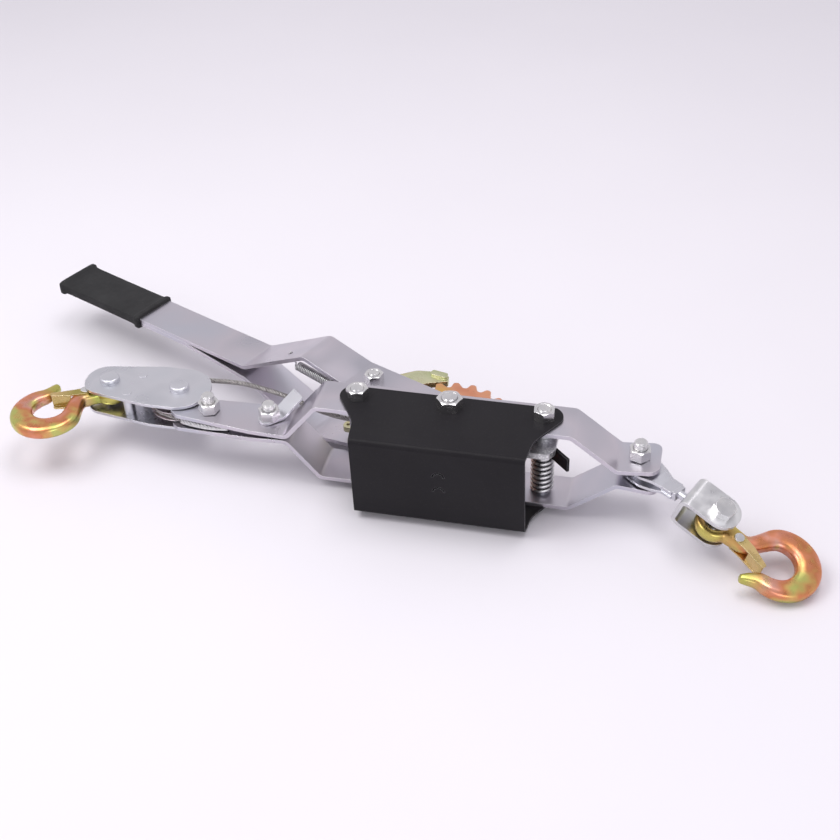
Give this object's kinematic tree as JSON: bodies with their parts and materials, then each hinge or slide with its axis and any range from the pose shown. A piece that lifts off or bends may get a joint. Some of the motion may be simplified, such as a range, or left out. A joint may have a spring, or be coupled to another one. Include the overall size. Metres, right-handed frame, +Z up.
{
  "type": "come along winch",
  "caption": "Hand-cranked ratchet cable puller: boxed strip frame, guarded drum, folded lever handle, pulley block with latched hook, swivel clevis hook.",
  "frame": {"origin": "centre of the drum axle bolt's head, on the plane that the bolt heads rest on", "axes": "+X along the frame towards the rear swivel hook, +Z up the drum axle"},
  "size_m": [0.8126, 0.335, 0.109],
  "materials": {
    "strip_zinc": "satin clear zinc plate",
    "black_cover": "satin black paint",
    "fastener_zinc": "bright zinc plate",
    "tube_zinc": "zinc plate",
    "bush_bronze": "sintered bronze",
    "strap_zinc": "satin zinc plate",
    "spring_steel": "bright plated wire",
    "wire_rope": "galvanised strands",
    "ferrule_zinc": "pressed sleeve",
    "wheel_chromate": "yellow and salmon chromate",
    "grip_rubber": "matte black",
    "pawl_chromate": "yellow-green chromate",
    "pawl_galvanised": "speckled galvanised",
    "release_black": "black",
    "block_zinc": "satin zinc plate",
    "sheave_steel": "turned steel",
    "hook_chromate": "iridescent yellow chromate",
    "latch_chromate": "gold chromate",
    "latch_rivet": "bright zinc",
    "link_zinc": "satin zinc plate",
    "clevis_zinc": "satin zinc plate"
  },
  "bodies": {
    "frame": {"frame_upper_strip": "strip_zinc", "frame_lower_strip": "strip_zinc", "guard_cover": "black_cover", "cover_bolts": "fastener_zinc", "cover_nuts": "fastener_zinc", "drum_axle_bolt": "fastener_zinc", "drum_axle_nut": "fastener_zinc", "end_bolts": "fastener_zinc", "end_nuts": "fastener_zinc", "front_spacer_tube": "tube_zinc", "rope_guide_strap": "strap_zinc", "holding_pawl_spacers": "tube_zinc", "holding_pawl_spring": "spring_steel", "rope_haul_run": "wire_rope", "rope_ferrule": "ferrule_zinc", "rope_thimble": "ferrule_zinc", "rope_end_eye": "wire_rope"},
    "drum": {"drum_core": "tube_zinc", "ratchet_wheel_upper": "wheel_chromate", "ratchet_wheel_lower": "wheel_chromate", "drum_bushings": "bush_bronze", "rope_winding": "wire_rope"},
    "handle": {"handle_upper_arm": "strip_zinc", "handle_lower_arm": "strip_zinc", "handle_rivets": "fastener_zinc", "handle_grip": "grip_rubber", "handle_washers": "fastener_zinc", "drive_pawl_bolt": "fastener_zinc", "drive_pawl_nut": "fastener_zinc", "drive_pawl_spacers": "fastener_zinc", "drive_pawl_spring": "spring_steel"},
    "drive_pawl": {"drive_pawl_upper": "pawl_chromate", "drive_pawl_lower": "pawl_chromate", "drive_pawl_sleeve": "tube_zinc"},
    "holding_pawl": {"holding_pawl": "pawl_galvanised", "holding_pawl_release": "release_black"},
    "pulley_block": {"block_upper_plate": "block_zinc", "block_lower_plate": "block_zinc", "block_spacer_rivets": "block_zinc", "sheave_pin": "block_zinc", "front_hook_pin": "block_zinc", "sheave_washers": "fastener_zinc", "rope_sheave_wrap": "wire_rope"},
    "sheave": {"sheave": "sheave_steel"},
    "front_hook": {"front_hook": "hook_chromate", "front_latch_rivet": "latch_rivet", "front_latch_spring": "spring_steel"},
    "front_latch": {"front_latch": "latch_chromate"},
    "rear_link": {"rear_link_upper": "link_zinc", "rear_link_lower": "link_zinc", "rear_link_spacer": "tube_zinc", "swivel_stem": "tube_zinc"},
    "swivel": {"swivel_washer": "fastener_zinc"},
    "clevis": {"swivel_clevis": "clevis_zinc", "clevis_bolt": "fastener_zinc", "clevis_nut": "fastener_zinc"},
    "rear_hook": {"rear_hook": "hook_chromate", "rear_latch_rivet": "latch_rivet", "rear_latch_spring": "spring_steel"},
    "rear_latch": {"rear_latch": "latch_chromate"}
  },
  "joints": [
    {"name": "drum_spin", "type": "hinge", "parent": "frame", "child": "drum", "pos_m": [0, 0, 0.052], "axis": [0, 0, 1], "range_deg": [0, 1440]},
    {"name": "block_slide", "type": "slide", "parent": "frame", "child": "pulley_block", "axis": [-1, 0, 0], "range_m": [0, 0.2514]},
    {"name": "sheave_spin", "type": "hinge", "parent": "pulley_block", "child": "sheave", "pos_m": [-0.272, 0.022, 0.052], "axis": [0, 0, 1], "range_deg": [0, 555]},
    {"name": "handle_swing", "type": "hinge", "parent": "frame", "child": "handle", "pos_m": [0, 0, 0.052], "axis": [0, 0, 1], "range_deg": [-80, 0]},
    {"name": "drive_pawl_lift", "type": "hinge", "parent": "handle", "child": "drive_pawl", "pos_m": [-0.08, 0.037, 0.052], "axis": [0, 0, 1], "range_deg": [0, 12], "stiffness_Nm_per_rad": 0.6},
    {"name": "holding_pawl_lift", "type": "hinge", "parent": "frame", "child": "holding_pawl", "pos_m": [0.086, 0, 0.052], "axis": [0, 0, 1], "range_deg": [0, 20], "stiffness_Nm_per_rad": 0.6},
    {"name": "front_hook_swing", "type": "hinge", "parent": "pulley_block", "child": "front_hook", "pos_m": [-0.344, 0.022, 0.052], "axis": [0, 0, 1], "range_deg": [-90, 15]},
    {"name": "front_latch_open", "type": "hinge", "parent": "front_hook", "child": "front_latch", "pos_m": [-0.36521, 0.00817, 0.052], "axis": [0, 0, 1], "range_deg": [0, 16], "stiffness_Nm_per_rad": 0.05},
    {"name": "rear_link_yaw", "type": "hinge", "parent": "frame", "child": "rear_link", "pos_m": [0.173, 0, 0.052], "axis": [0, 0, 1], "range_deg": [-12, 90]},
    {"name": "rear_swivel", "type": "hinge", "parent": "rear_link", "child": "swivel", "pos_m": [0.21658, -0.03356, 0.052], "axis": [0.7923, -0.6101, 0], "continuous": true},
    {"name": "clevis_tilt", "type": "hinge", "parent": "swivel", "child": "clevis", "pos_m": [0.21658, -0.03356, 0.052], "axis": [0.6101, 0.7923, 0], "range_deg": [-20, 1]},
    {"name": "rear_hook_swing", "type": "hinge", "parent": "clevis", "child": "rear_hook", "pos_m": [0.24361, -0.04478, 0.03596], "axis": [0.1907, -0.2482, 0.9498], "range_deg": [-50, 50]},
    {"name": "rear_latch_open", "type": "hinge", "parent": "rear_hook", "child": "rear_latch", "pos_m": [0.26428, -0.05736, 0.02853], "axis": [0.1907, -0.2482, 0.9498], "range_deg": [0, 16], "stiffness_Nm_per_rad": 0.05}
  ],
  "couplings": [
    {"joint": "block_slide", "follows": "drum_spin", "m_per_rad": 0.01},
    {"joint": "sheave_spin", "follows": "drum_spin", "ratio": 0.38461}
  ]
}
